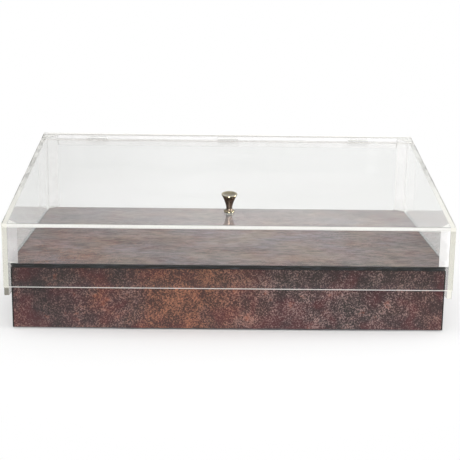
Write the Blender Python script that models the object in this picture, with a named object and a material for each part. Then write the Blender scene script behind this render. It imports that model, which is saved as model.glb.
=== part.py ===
"""Gastronorm cooling box.

An insulated laminate box holds two cold packs under a serving plate. A clear
acrylic hood stands on the plate, and the sloping front half of the hood is a
flap on three clear hinges, lifted by a turned metal knob.

The origin is on the floor under the middle of the hood. X runs along the
front, Y from front to rear and Z upwards. All sizes are in metres.
"""

import math

import bmesh
import bpy
from mathutils import Vector

MM = 0.001

# Clearances
TOUCH = 0.3 * MM
SCREW_PLAY = 0.3 * MM
HOOD_PLAY = 1.0 * MM
FLAP_PLAY = 0.5 * MM
PACK_PLAY = 1.0 * MM
JOINT_GAP = 1.5 * MM

# Serving plate, the full gastronorm size
PLATE_WIDTH = 530 * MM
PLATE_DEPTH = 325 * MM
PLATE_THICKNESS = 5 * MM
PLATE_CORNER = 12 * MM
PLATE_CHAMFER = 0.5 * MM

# Base box of laminate panels
PLATE_OVERHANG = 1.5 * MM
WALL_THICKNESS = 8 * MM
WALL_HEIGHT = 75.9 * MM
WALL_CHAMFER = 0.4 * MM
FLOOR_CLEARANCE = 1.5 * MM
BOTTOM_THICKNESS = 6 * MM
BOTTOM_RAISE = 5 * MM
BLOCK_SIZE = 20 * MM

# Feet, their screws and the pads under the plate
FOOT_DIAMETER = 18 * MM
FOOT_CHAMFER = 1 * MM
FOOT_SEAT = 2.4 * MM
FOOT_RECESS_DIAMETER = 9.4 * MM
PAD_DIAMETER = 10 * MM
PAD_THICKNESS = 1.2 * MM
SCREW_DIAMETER = 4 * MM
SCREW_HEAD_DIAMETER = 8 * MM
SCREW_HEAD_HEIGHT = 2.4 * MM
SCREW_HEAD_CROWN = 0.7 * MM
SCREW_POINT = 1 * MM
SCREW_SOCKET = 2.5 * MM
SCREW_SOCKET_DEPTH = 1.4 * MM
FOOT_SCREW_LENGTH = 20 * MM

# Insulation and cold packs
TRAY_WALL = 18 * MM
TRAY_CORNER = 24 * MM
PACK_THICKNESS = 34 * MM
PACK_CHAMFER = 3 * MM
PLUG_DIAMETER = 22 * MM
PLUG_HEIGHT = 8 * MM
PLUG_INSET = 30 * MM
PLUG_CHAMFER = 0.8 * MM

# Hood
SIDE_THICKNESS = 6 * MM
REAR_THICKNESS = 6 * MM
PANE_THICKNESS = 4 * MM
HOOD_FRONT_RISE = 50 * MM
HOOD_REAR_RISE = 113.6 * MM
HOOD_SKIRT = 40.2 * MM
FLAP_SKIRT = 29 * MM
STRIP_DEPTH = 24 * MM
FRONT_BAR = 12 * MM
REAR_BAR = 15 * MM
ACRYLIC_CHAMFER = 0.3 * MM

# Hinges of the flap
HINGE_PITCH = 190 * MM
HINGE_WIDTH = 30 * MM
LEAF_REACH = 22 * MM
LEAF_THICKNESS = 1.5 * MM
KNUCKLE_DIAMETER = 5 * MM
KNUCKLE_PLAY = 0.3 * MM
MIDDLE_KNUCKLE = 14.8 * MM
HINGE_PIN_DIAMETER = 1.9 * MM

# Knob, its washer and its screw
KNOB_SETBACK = 43.5 * MM
KNOB_HEIGHT = 23.3 * MM
KNOB_TOP_DIAMETER = 19.5 * MM
KNOB_NECK_DIAMETER = 7.3 * MM
KNOB_FOOT_DIAMETER = 13.4 * MM
KNOB_FOOT_HEIGHT = 1.6 * MM
KNOB_NECK_HEIGHT = 4.6 * MM
KNOB_RIM = 0.9 * MM
KNOB_DISH = 1.2 * MM
KNOB_EDGE = 0.4 * MM
KNOB_FLARE = 1.6
KNOB_THREAD_DEPTH = 11 * MM
WASHER_DIAMETER = 11 * MM
WASHER_THICKNESS = 1 * MM
KNOB_SCREW_REACH = 9 * MM

# Steps round curves and along turned profiles
FINE_STEPS = 40
PLAIN_STEPS = 28
SMALL_STEPS = 20
KNUCKLE_STEPS = 14
CORNER_STEPS = 8
FILLET_STEPS = 5
FLARE_STEPS = 9

# Finishes: colour, roughness, metallic
RUST_LAMINATE = ("#4A2C26", 0.38, 0.0)
BLACK_LAMINATE = ("#1C1A1A", 0.5, 0.0)
CLEAR_ACRYLIC = ("#EEF2F1", 0.05, 0.0)
SATIN_NICKEL = ("#A39C92", 0.28, 1.0)
STAINLESS_STEEL = ("#B9BABB", 0.3, 1.0)
FOAM_WHITE = ("#EDEDE9", 0.9, 0.0)
PACK_BLUE = ("#3B6FB4", 0.45, 0.0)
PLUG_WHITE = ("#E6E8EA", 0.5, 0.0)
FOOT_RUBBER = ("#1B1B1C", 0.85, 0.0)
CLEAR_SILICONE = ("#D9DCDC", 0.4, 0.0)

# Heights of the base and the plate
WALL_TOP = FLOOR_CLEARANCE + WALL_HEIGHT
PLATE_BOTTOM = WALL_TOP + TOUCH
PLATE_TOP = PLATE_BOTTOM + PLATE_THICKNESS
BOTTOM_UNDERSIDE = FLOOR_CLEARANCE + BOTTOM_RAISE
BOTTOM_TOP = BOTTOM_UNDERSIDE + BOTTOM_THICKNESS
BLOCK_BOTTOM = BOTTOM_TOP + TOUCH
BLOCK_TOP = WALL_TOP - PAD_THICKNESS - TOUCH
TRAY_BOTTOM = BOTTOM_TOP + TOUCH
PACK_TOP = PLATE_BOTTOM - TOUCH
PACK_BOTTOM = PACK_TOP - PACK_THICKNESS
TRAY_FLOOR_TOP = PACK_BOTTOM - TOUCH

# Plan of the hood, with the origin under its middle
HOOD_INNER_WIDTH = PLATE_WIDTH + 2 * HOOD_PLAY
HOOD_WIDTH = HOOD_INNER_WIDTH + 2 * SIDE_THICKNESS
HOOD_INNER_DEPTH = PLATE_DEPTH + 2 * HOOD_PLAY
HOOD_DEPTH = PANE_THICKNESS + HOOD_INNER_DEPTH + REAR_THICKNESS
HOOD_FRONT = -HOOD_DEPTH / 2
HOOD_REAR = HOOD_DEPTH / 2
REAR_WALL_FACE = HOOD_REAR - REAR_THICKNESS
PANE_FACE = HOOD_FRONT + PANE_THICKNESS
SIDE_FRONT = PANE_FACE + FLAP_PLAY
CORNER_X = HOOD_INNER_WIDTH / 2 - TOUCH
CORNER_REAR = REAR_WALL_FACE - TOUCH

# Plan of the plate and the base
PLATE_MIDDLE = (PANE_FACE + REAR_WALL_FACE) / 2
BASE_WIDTH = PLATE_WIDTH - 2 * PLATE_OVERHANG
BASE_DEPTH = PLATE_DEPTH - 2 * PLATE_OVERHANG
BOX_INNER_WIDTH = BASE_WIDTH - 2 * WALL_THICKNESS
BOX_INNER_DEPTH = BASE_DEPTH - 2 * WALL_THICKNESS
TRAY_WIDTH = BOX_INNER_WIDTH - 2 * TOUCH
TRAY_DEPTH = BOX_INNER_DEPTH - 2 * TOUCH
TRAY_INNER_WIDTH = TRAY_WIDTH - 2 * TRAY_WALL
TRAY_INNER_DEPTH = TRAY_DEPTH - 2 * TRAY_WALL
BLOCK_X = BOX_INNER_WIDTH / 2 - TOUCH - BLOCK_SIZE / 2
BLOCK_Y = BOX_INNER_DEPTH / 2 - TOUCH - BLOCK_SIZE / 2
CORNERS = {
    "front_left": (-1, -1),
    "front_right": (1, -1),
    "rear_left": (-1, 1),
    "rear_right": (1, 1),
}

# Slope of the hood's top and the joint between the flap and the top strip
HOOD_FRONT_TOP = PLATE_TOP + HOOD_FRONT_RISE
HOOD_REAR_TOP = PLATE_TOP + HOOD_REAR_RISE
SLOPE = math.atan2(HOOD_REAR_TOP - HOOD_FRONT_TOP, HOOD_DEPTH)
ALONG = Vector((0, math.cos(SLOPE), math.sin(SLOPE)))
OUTWARD = Vector((0, -math.sin(SLOPE), math.cos(SLOPE)))
PANE_DROP = PANE_THICKNESS / math.cos(SLOPE)
TOUCH_DROP = TOUCH / math.cos(SLOPE)
JOINT_Y = CORNER_REAR - STRIP_DEPTH * math.cos(SLOPE)


def slope_height(depth):
    """Height of the hood's sloping outer face at a place from front to rear."""
    return HOOD_FRONT_TOP + (depth - HOOD_FRONT) * math.tan(SLOPE)


def wall_height(depth):
    """Height at which a wall or bar ends just under the sloping panes."""
    return slope_height(depth) - PANE_DROP - TOUCH_DROP


JOINT = Vector((0, JOINT_Y, slope_height(JOINT_Y)))
HINGE_AXIS = JOINT + OUTWARD * (KNUCKLE_DIAMETER / 2 + TOUCH)
FLAP_EDGE = Vector((0, HOOD_FRONT, HOOD_FRONT_TOP))
KNOB_FOOT = FLAP_EDGE + ALONG * KNOB_SETBACK


# Scene and materials


def clear_scene():
    """Start from an empty scene."""
    for thing in list(bpy.data.objects):
        bpy.data.objects.remove(thing)


def linear_colour(code):
    """Turn an sRGB hex colour into linear values."""
    values = []
    for start in (1, 3, 5):
        level = int(code[start:start + 2], 16) / 255
        values.append(level / 12.92 if level <= 0.04045 else ((level + 0.055) / 1.055) ** 2.4)
    return (*values, 1.0)


def give_finish(piece, finish):
    """Give a piece its own Principled material."""
    colour, roughness, metallic = finish
    material = bpy.data.materials.new(piece.name)
    material.use_nodes = True
    shader = material.node_tree.nodes["Principled BSDF"]
    shader.inputs["Base Color"].default_value = linear_colour(colour)
    shader.inputs["Roughness"].default_value = roughness
    shader.inputs["Metallic"].default_value = metallic
    piece.data.materials.append(material)


def world_place(thing):
    """World position of an object whose parents are all unturned."""
    place = thing.location.copy()
    while thing.parent:
        thing = thing.parent
        place += thing.location
    return place


def add_carrier(name, place, parent=None):
    """Add an empty that carries the pieces moving together."""
    carrier = bpy.data.objects.new(name, None)
    bpy.context.scene.collection.objects.link(carrier)
    carrier.parent = parent
    carrier.location = Vector(place)
    if parent:
        carrier.location -= world_place(parent)
    return carrier


def add_piece(name, shape, finish, carrier, place, tilt=0.0):
    """Turn a bmesh into a named piece at a world position."""
    mesh = bpy.data.meshes.new(name)
    shape.to_mesh(mesh)
    shape.free()
    piece = bpy.data.objects.new(name, mesh)
    bpy.context.scene.collection.objects.link(piece)
    piece.parent = carrier
    piece.location = Vector(place) - world_place(carrier)
    piece.rotation_euler = (tilt, 0, 0)
    if finish:
        give_finish(piece, finish)
    return piece


def add_cutter(name, shape, carrier, place, tilt=0.0):
    """Turn a bmesh into a hidden tool for a Boolean."""
    cutter = add_piece(name, shape, None, carrier, place, tilt)
    cutter.hide_render = True
    cutter.display_type = "WIRE"
    return cutter


def combine(piece, tool, operation):
    """Cut a tool out of a piece, or join it on."""
    boolean = piece.modifiers.new(tool.name, "BOOLEAN")
    boolean.operation = operation
    boolean.solver = "EXACT"
    boolean.object = tool


def ease_edges(piece, width, segments=1):
    """Chamfer or round the sharp edges of a piece."""
    bevel = piece.modifiers.new("Eased edges", "BEVEL")
    bevel.width = width
    bevel.segments = segments
    bevel.limit_method = "ANGLE"
    bevel.angle_limit = math.radians(35)


def shade_round(piece):
    """Shade a turned piece smooth between its sharp edges."""
    piece.data.shade_smooth()
    piece.data.set_sharp_from_angle(angle=math.radians(35))


# Shapes


def block(width, depth, height):
    """A box standing on its origin, centred from side to side and in depth."""
    shape = bmesh.new()
    bmesh.ops.create_cube(shape, size=1.0)
    bmesh.ops.scale(shape, vec=(width, depth, height), verts=shape.verts)
    bmesh.ops.translate(shape, vec=(0, 0, height / 2), verts=shape.verts)
    return shape


def rounded_block(width, depth, height, corner):
    """A box standing on its origin with round upright corners."""
    shape = block(width, depth, height)
    uprights = []
    for edge in shape.edges:
        low, high = edge.verts
        if abs(low.co.z - high.co.z) > height / 2:
            uprights.append(edge)
    bmesh.ops.bevel(
        shape, geom=uprights, offset=corner, offset_type="OFFSET",
        segments=CORNER_STEPS, profile=0.5, affect="EDGES", material=-1,
    )
    return shape


def extruded(points, push):
    """A flat outline pushed out into a closed solid."""
    shape = bmesh.new()
    face = shape.faces.new([shape.verts.new(point) for point in points])
    result = bmesh.ops.extrude_face_region(shape, geom=[face])
    moved = [item for item in result["geom"] if isinstance(item, bmesh.types.BMVert)]
    bmesh.ops.translate(shape, vec=push, verts=moved)
    bmesh.ops.recalc_face_normals(shape, faces=shape.faces)
    return shape


def side_profile(outline, width):
    """An outline in depth and height, pushed out to a width centred on X."""
    points = [(-width / 2, depth, height) for depth, height in outline]
    return extruded(points, (width, 0, 0))


def turned(profile, steps, closed=False):
    """A profile of radius and height, turned about the upright axis."""
    shape = bmesh.new()
    verts = [shape.verts.new((radius, 0, height)) for radius, height in profile]
    ends = verts[1:] + verts[:1] if closed else verts[1:]
    edges = [shape.edges.new(pair) for pair in zip(verts, ends)]
    bmesh.ops.spin(
        shape, geom=verts + edges, cent=(0, 0, 0), axis=(0, 0, 1),
        angle=math.tau, steps=steps, use_merge=True,
    )
    bmesh.ops.remove_doubles(shape, verts=shape.verts, dist=0.001 * MM)
    bmesh.ops.recalc_face_normals(shape, faces=shape.faces)
    return shape


def rod(diameter, height, steps):
    """A plain round bar standing on its origin."""
    radius = diameter / 2
    return turned([(0, 0), (radius, 0), (radius, height), (0, height)], steps)


def side_rod(diameter, length, steps):
    """A plain round bar lying along X, centred on its origin."""
    radius = diameter / 2
    ring = []
    for step in range(steps):
        angle = math.tau * step / steps
        ring.append((-length / 2, radius * math.cos(angle), radius * math.sin(angle)))
    return extruded(ring, (length, 0, 0))


def four_copies(make_shape, spread_x, spread_y):
    """Four equal solids at the corners of a rectangle, in one bmesh."""
    group = bmesh.new()
    for side, end in CORNERS.values():
        single = make_shape()
        bmesh.ops.translate(single, vec=(side * spread_x, end * spread_y, 0), verts=single.verts)
        mesh = bpy.data.meshes.new("Copy")
        single.to_mesh(mesh)
        single.free()
        group.from_mesh(mesh)
        bpy.data.meshes.remove(mesh)
    return group


def pan_screw(length):
    """A screw with its head's underside at the origin and its shank upwards."""
    head = SCREW_HEAD_DIAMETER / 2
    shank = SCREW_DIAMETER / 2
    return turned([
        (0, -SCREW_HEAD_HEIGHT),
        (head - SCREW_HEAD_CROWN, -SCREW_HEAD_HEIGHT),
        (head, -SCREW_HEAD_HEIGHT + SCREW_HEAD_CROWN),
        (head, 0),
        (shank, 0),
        (shank, length - SCREW_POINT),
        (shank - SCREW_POINT / 2, length),
        (0, length),
    ], SMALL_STEPS)


def add_screw(name, length, carrier, place, tilt=0.0):
    """A screw with a six-sided key socket, placed by its head's underside."""
    screw = add_piece(name, pan_screw(length), STAINLESS_STEEL, carrier, place, tilt)
    shade_round(screw)
    socket = rod(SCREW_SOCKET / math.cos(math.pi / 6), 2 * SCREW_SOCKET_DEPTH, 6)
    downwards = Vector((0, math.sin(tilt), -math.cos(tilt)))
    below = Vector(place) + downwards * (SCREW_HEAD_HEIGHT + SCREW_SOCKET_DEPTH)
    socket = add_cutter(f"{name}_socket", socket, carrier, below, tilt)
    combine(screw, socket, "DIFFERENCE")


# Base box


def build_walls(base):
    """Front and rear panels run full width, with the side panels between."""
    long_wall = (BASE_WIDTH, WALL_THICKNESS, WALL_HEIGHT)
    short_wall = (WALL_THICKNESS, BOX_INNER_DEPTH - 2 * TOUCH, WALL_HEIGHT)
    wall_y = (BASE_DEPTH - WALL_THICKNESS) / 2
    wall_x = (BASE_WIDTH - WALL_THICKNESS) / 2
    panels = {
        "front_panel": (long_wall, 0, -wall_y),
        "rear_panel": (long_wall, 0, wall_y),
        "left_panel": (short_wall, -wall_x, 0),
        "right_panel": (short_wall, wall_x, 0),
    }
    for name, (size, across, depth) in panels.items():
        place = (across, PLATE_MIDDLE + depth, FLOOR_CLEARANCE)
        panel = add_piece(name, block(*size), RUST_LAMINATE, base, place)
        ease_edges(panel, WALL_CHAMFER)


def build_bottom(base):
    """The bottom panel, with a clear hole for each foot screw."""
    place = (0, PLATE_MIDDLE, BOTTOM_UNDERSIDE)
    shape = block(BOX_INNER_WIDTH - 2 * TOUCH, BOX_INNER_DEPTH - 2 * TOUCH, BOTTOM_THICKNESS)
    bottom = add_piece("bottom_panel", shape, BLACK_LAMINATE, base, place)
    hole = SCREW_DIAMETER + 2 * SCREW_PLAY

    def drill():
        return rod(hole, 3 * BOTTOM_THICKNESS, SMALL_STEPS)

    below = (0, PLATE_MIDDLE, BOTTOM_UNDERSIDE - BOTTOM_THICKNESS)
    drills = add_cutter("bottom_drills", four_copies(drill, BLOCK_X, BLOCK_Y), base, below)
    combine(bottom, drills, "DIFFERENCE")


def foot_shape(height):
    """A round foot, recessed below for its screw's head."""
    outer = FOOT_DIAMETER / 2
    recess = FOOT_RECESS_DIAMETER / 2
    hole = SCREW_DIAMETER / 2 + SCREW_PLAY
    return turned([
        (hole, height),
        (hole, height - FOOT_SEAT),
        (recess, height - FOOT_SEAT),
        (recess, 0),
        (outer - FOOT_CHAMFER, 0),
        (outer, FOOT_CHAMFER),
        (outer, height),
    ], PLAIN_STEPS, closed=True)


def build_corners(base):
    """A block, a foot, a foot screw and a plate pad at each corner."""
    foot_height = BOTTOM_UNDERSIDE - TOUCH
    head_seat = foot_height - FOOT_SEAT - TOUCH
    screw_top = head_seat + FOOT_SCREW_LENGTH
    hole = SCREW_DIAMETER + 2 * SCREW_PLAY
    for corner, (side, end) in CORNERS.items():
        x = side * BLOCK_X
        y = PLATE_MIDDLE + end * BLOCK_Y
        shape = block(BLOCK_SIZE, BLOCK_SIZE, BLOCK_TOP - BLOCK_BOTTOM)
        post = add_piece(f"{corner}_block", shape, BLACK_LAMINATE, base, (x, y, BLOCK_BOTTOM))
        drill_height = screw_top + SCREW_PLAY - BOTTOM_TOP
        drill = rod(hole, drill_height, SMALL_STEPS)
        drill = add_cutter(f"{corner}_block_drill", drill, base, (x, y, BOTTOM_TOP))
        combine(post, drill, "DIFFERENCE")
        foot = add_piece(f"{corner}_foot", foot_shape(foot_height), FOOT_RUBBER, base, (x, y, 0))
        shade_round(foot)
        pad = rod(PAD_DIAMETER, PAD_THICKNESS, PLAIN_STEPS)
        pad = add_piece(f"{corner}_pad", pad, CLEAR_SILICONE, base, (x, y, BLOCK_TOP + TOUCH))
        shade_round(pad)
        place = (x, y, head_seat)
        add_screw(f"{corner}_foot_screw", FOOT_SCREW_LENGTH, base, place)


def build_tray(base):
    """The foam tray, notched round the corner blocks and open above."""
    half_x = TRAY_WIDTH / 2
    half_y = TRAY_DEPTH / 2
    notch_x = BLOCK_X - BLOCK_SIZE / 2 - TOUCH
    notch_y = BLOCK_Y - BLOCK_SIZE / 2 - TOUCH
    quarter = [(half_x, notch_y), (notch_x, notch_y), (notch_x, half_y)]
    outline = list(quarter)
    outline += [(-x, y) for x, y in reversed(quarter)]
    outline += [(-x, -y) for x, y in quarter]
    outline += [(x, -y) for x, y in reversed(quarter)]
    points = [(x, y, 0) for x, y in outline]
    shape = extruded(points, (0, 0, WALL_TOP - TRAY_BOTTOM))
    place = (0, PLATE_MIDDLE, TRAY_BOTTOM)
    tray = add_piece("insulation_tray", shape, FOAM_WHITE, base, place)
    hollow = rounded_block(TRAY_INNER_WIDTH, TRAY_INNER_DEPTH, WALL_HEIGHT, TRAY_CORNER)
    hollow = add_cutter("tray_hollow", hollow, base, (0, PLATE_MIDDLE, TRAY_FLOOR_TOP))
    combine(tray, hollow, "DIFFERENCE")


def build_cold_packs(base):
    """Two flat packs side by side, each with a filler plug let into its top."""
    width = (TRAY_INNER_WIDTH - 3 * PACK_PLAY) / 2
    depth = TRAY_INNER_DEPTH - 2 * PACK_PLAY
    recess_bottom = PACK_TOP - PLUG_HEIGHT - TOUCH
    for name, side in (("left", -1), ("right", 1)):
        x = side * (width + PACK_PLAY) / 2
        corner = TRAY_CORNER - PACK_PLAY
        shape = rounded_block(width, depth, PACK_THICKNESS, corner)
        place = (x, PLATE_MIDDLE, PACK_BOTTOM)
        pack = add_piece(f"{name}_cold_pack", shape, PACK_BLUE, base, place)
        ease_edges(pack, PACK_CHAMFER)
        plug_x = x + side * (width / 2 - PLUG_INSET)
        plug_y = PLATE_MIDDLE + depth / 2 - PLUG_INSET
        recess = rod(PLUG_DIAMETER + 2 * TOUCH, 2 * PLUG_HEIGHT, PLAIN_STEPS)
        recess = add_cutter(f"{name}_plug_recess", recess, base, (plug_x, plug_y, recess_bottom))
        combine(pack, recess, "DIFFERENCE")
        plug = rod(PLUG_DIAMETER, PLUG_HEIGHT, PLAIN_STEPS)
        place = (plug_x, plug_y, recess_bottom + TOUCH)
        plug = add_piece(f"{name}_filler_plug", plug, PLUG_WHITE, base, place)
        ease_edges(plug, PLUG_CHAMFER)


# Serving plate


def build_plate(carrier):
    """The serving plate that covers the box and carries the hood."""
    shape = rounded_block(PLATE_WIDTH, PLATE_DEPTH, PLATE_THICKNESS, PLATE_CORNER)
    place = (0, PLATE_MIDDLE, PLATE_BOTTOM)
    plate = add_piece("serving_plate", shape, RUST_LAMINATE, carrier, place)
    ease_edges(plate, PLATE_CHAMFER)


# Hood


def add_acrylic(name, shape, carrier, place):
    """A clear sheet or bar, with its edges eased after sawing."""
    piece = add_piece(name, shape, CLEAR_ACRYLIC, carrier, place)
    ease_edges(piece, ACRYLIC_CHAMFER)
    return piece


def build_hood_walls(hood):
    """Two sloping side walls and the rear wall that closes them."""
    skirt = PLATE_TOP - HOOD_SKIRT
    outline = [
        (SIDE_FRONT, skirt),
        (CORNER_REAR, skirt),
        (CORNER_REAR, wall_height(CORNER_REAR)),
        (SIDE_FRONT, wall_height(SIDE_FRONT)),
    ]
    side_x = (HOOD_WIDTH - SIDE_THICKNESS) / 2
    for name, side in (("left", -1), ("right", 1)):
        shape = side_profile(outline, SIDE_THICKNESS)
        add_acrylic(f"hood_{name}_wall", shape, hood, (side * side_x, 0, 0))
    outline = [
        (REAR_WALL_FACE, skirt),
        (HOOD_REAR, skirt),
        (HOOD_REAR, HOOD_REAR_TOP),
        (REAR_WALL_FACE, slope_height(REAR_WALL_FACE)),
    ]
    add_acrylic("hood_rear_wall", side_profile(outline, HOOD_WIDTH), hood, (0, 0, 0))


def build_top_strip(hood):
    """The fixed strip behind the flap, in line with it."""
    edge = JOINT + ALONG * (JOINT_GAP / 2)
    under = edge - OUTWARD * PANE_THICKNESS
    outline = [
        (edge.y, edge.z),
        (under.y, under.z),
        (CORNER_REAR, slope_height(CORNER_REAR) - PANE_DROP),
        (CORNER_REAR, slope_height(CORNER_REAR)),
    ]
    add_acrylic("hood_top_strip", side_profile(outline, HOOD_WIDTH), hood, (0, 0, 0))


def corner_bar(leg, side, end):
    """An upright three-cornered bar that ends under the sloping panes."""
    depth = CORNER_REAR if end > 0 else SIDE_FRONT
    points = [
        (side * CORNER_X, depth, PLATE_TOP + TOUCH),
        (side * (CORNER_X - leg), depth, PLATE_TOP + TOUCH),
        (side * CORNER_X, depth - end * leg, PLATE_TOP + TOUCH),
    ]
    shape = extruded(points, (0, 0, HOOD_REAR_RISE))
    upper_ends = [vert for vert in shape.verts if vert.co.z > PLATE_TOP + HOOD_REAR_RISE]
    for vert in upper_ends:
        vert.co.z = wall_height(vert.co.y)
    return shape


def build_bars(hood):
    """Bars in the upright corners and along the top of the rear wall."""
    for corner, (side, end) in CORNERS.items():
        leg = REAR_BAR if end > 0 else FRONT_BAR
        add_acrylic(f"{corner}_corner_bar", corner_bar(leg, side, end), hood, (0, 0, 0))
    top = Vector((0, CORNER_REAR, wall_height(CORNER_REAR)))
    front = top - ALONG * REAR_BAR
    outline = [(top.y, top.z), (top.y, top.z - REAR_BAR), (front.y, front.z)]
    length = 2 * (CORNER_X - REAR_BAR - TOUCH)
    add_acrylic("top_rear_bar", side_profile(outline, length), hood, (0, 0, 0))


# Flap


def build_flap_panes(flap):
    """The sloping pane and the front pane glued under its edge."""
    edge = JOINT - ALONG * (JOINT_GAP / 2)
    under = edge - OUTWARD * PANE_THICKNESS
    outline = [
        (HOOD_FRONT, HOOD_FRONT_TOP),
        (HOOD_FRONT, HOOD_FRONT_TOP - PANE_DROP),
        (under.y, under.z),
        (edge.y, edge.z),
    ]
    local = [(depth - HINGE_AXIS.y, height - HINGE_AXIS.z) for depth, height in outline]
    top_pane = add_acrylic("flap_top_pane", side_profile(local, HOOD_WIDTH), flap, HINGE_AXIS)
    hole = rod(SCREW_DIAMETER + 2 * SCREW_PLAY, 3 * PANE_THICKNESS, SMALL_STEPS)
    below = KNOB_FOOT - OUTWARD * (2 * PANE_THICKNESS)
    hole = add_cutter("flap_screw_hole", hole, flap, below, SLOPE)
    combine(top_pane, hole, "DIFFERENCE")
    bottom = PLATE_TOP - FLAP_SKIRT
    outline = [
        (HOOD_FRONT, bottom),
        (PANE_FACE, bottom),
        (PANE_FACE, wall_height(PANE_FACE)),
        (HOOD_FRONT, wall_height(HOOD_FRONT)),
    ]
    local = [(depth - HINGE_AXIS.y, height - HINGE_AXIS.z) for depth, height in outline]
    add_acrylic("flap_front_pane", side_profile(local, HOOD_WIDTH), flap, HINGE_AXIS)


def knob_profile():
    """The knob's outline: flanged foot, slim neck, flared cup and dished top."""
    bore = SCREW_DIAMETER / 2 + SCREW_PLAY
    foot = KNOB_FOOT_DIAMETER / 2
    neck = KNOB_NECK_DIAMETER / 2
    top = KNOB_TOP_DIAMETER / 2
    edge = KNOB_EDGE
    outline = [(0, KNOB_THREAD_DEPTH), (bore, KNOB_THREAD_DEPTH), (bore, 0)]
    outline += [(foot - edge, 0), (foot, edge), (foot, KNOB_FOOT_HEIGHT - edge)]
    for step in range(FILLET_STEPS + 1):
        turn = math.pi / 2 * step / FILLET_STEPS
        radius = foot - edge - (foot - edge - neck) * math.sin(turn)
        height = KNOB_FOOT_HEIGHT + (KNOB_NECK_HEIGHT - KNOB_FOOT_HEIGHT) * (1 - math.cos(turn))
        outline.append((radius, height))
    flare_top = KNOB_HEIGHT - KNOB_RIM
    for step in range(1, FLARE_STEPS + 1):
        share = step / FLARE_STEPS
        radius = neck + (top - neck) * share ** KNOB_FLARE
        outline.append((radius, KNOB_NECK_HEIGHT + (flare_top - KNOB_NECK_HEIGHT) * share))
    outline += [(top, KNOB_HEIGHT - edge), (top - edge, KNOB_HEIGHT)]
    outline.append((top - KNOB_RIM, KNOB_HEIGHT))
    for step in range(1, FILLET_STEPS + 1):
        share = step / FILLET_STEPS
        sink = KNOB_DISH * math.sin(math.pi / 2 * share)
        outline.append(((top - KNOB_RIM) * (1 - share), KNOB_HEIGHT - sink))
    return outline


def build_knob(flap):
    """The turned knob, clamped through the pane by a screw and a washer."""
    place = KNOB_FOOT + OUTWARD * TOUCH
    knob = add_piece("knob", turned(knob_profile(), FINE_STEPS), SATIN_NICKEL, flap, place, SLOPE)
    shade_round(knob)
    washer_bottom = PANE_THICKNESS + TOUCH + WASHER_THICKNESS
    washer_hole = SCREW_DIAMETER / 2 + SCREW_PLAY
    washer = turned([
        (washer_hole, 0),
        (WASHER_DIAMETER / 2, 0),
        (WASHER_DIAMETER / 2, WASHER_THICKNESS),
        (washer_hole, WASHER_THICKNESS),
    ], PLAIN_STEPS, closed=True)
    place = KNOB_FOOT - OUTWARD * washer_bottom
    washer = add_piece("knob_washer", washer, CLEAR_SILICONE, flap, place, SLOPE)
    shade_round(washer)
    head_seat = washer_bottom + TOUCH
    place = KNOB_FOOT - OUTWARD * head_seat
    add_screw("knob_screw", head_seat + KNOB_SCREW_REACH, flap, place, SLOPE)


# Hinges


def leaf_plate(side):
    """The flat of a leaf, clear of the knuckles; side is 1 to the rear."""
    start = KNUCKLE_DIAMETER / 2 + KNUCKLE_PLAY
    bottom = -KNUCKLE_DIAMETER / 2
    outline = [
        (side * start, bottom),
        (side * LEAF_REACH, bottom),
        (side * LEAF_REACH, bottom + LEAF_THICKNESS),
        (side * start, bottom + LEAF_THICKNESS),
    ]
    return side_profile(outline, HINGE_WIDTH)


def knuckle(width, side):
    """A knuckle round the pin, with a tongue that reaches into its leaf."""
    radius = KNUCKLE_DIAMETER / 2
    reach = radius + KNUCKLE_PLAY + LEAF_THICKNESS
    top = LEAF_THICKNESS - radius
    outline = [(side * reach, -radius), (side * reach, top)]
    start = math.asin(top / radius)
    sweep = 1.5 * math.pi - start
    for step in range(KNUCKLE_STEPS + 1):
        angle = start + sweep * step / KNUCKLE_STEPS
        outline.append((side * radius * math.cos(angle), radius * math.sin(angle)))
    return side_profile(outline, width)


def build_leaf(name, x, side, knuckles, carrier):
    """One hinge leaf, made of its plate, its knuckles and the pin's bore."""
    place = HINGE_AXIS + Vector((x, 0, 0))
    leaf = add_piece(name, leaf_plate(side), CLEAR_ACRYLIC, carrier, place, SLOPE)
    for number, (offset, width) in enumerate(knuckles, start=1):
        centre = place + Vector((offset, 0, 0))
        shape = knuckle(width, side)
        tool = add_cutter(f"{name}_knuckle_{number}", shape, carrier, centre, SLOPE)
        combine(leaf, tool, "UNION")
    bore = side_rod(HINGE_PIN_DIAMETER + 2 * TOUCH, 2 * HINGE_WIDTH, SMALL_STEPS)
    bore = add_cutter(f"{name}_bore", bore, carrier, place, SLOPE)
    combine(leaf, bore, "DIFFERENCE")


def build_hinges(hood, flap):
    """Clear butt hinges laid across the joint, each with its own pin."""
    outer = (HINGE_WIDTH - MIDDLE_KNUCKLE) / 2 - KNUCKLE_PLAY
    outer_offset = (HINGE_WIDTH - outer) / 2
    outer_pair = [(-outer_offset, outer), (outer_offset, outer)]
    for name, x in (("left", -HINGE_PITCH), ("middle", 0), ("right", HINGE_PITCH)):
        build_leaf(f"{name}_hinge_fixed_leaf", x, 1, outer_pair, hood)
        build_leaf(f"{name}_hinge_flap_leaf", x, -1, [(0, MIDDLE_KNUCKLE)], flap)
        pin = side_rod(HINGE_PIN_DIAMETER, HINGE_WIDTH, SMALL_STEPS)
        add_piece(f"{name}_hinge_pin", pin, CLEAR_ACRYLIC, hood, HINGE_AXIS + Vector((x, 0, 0)))


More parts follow.
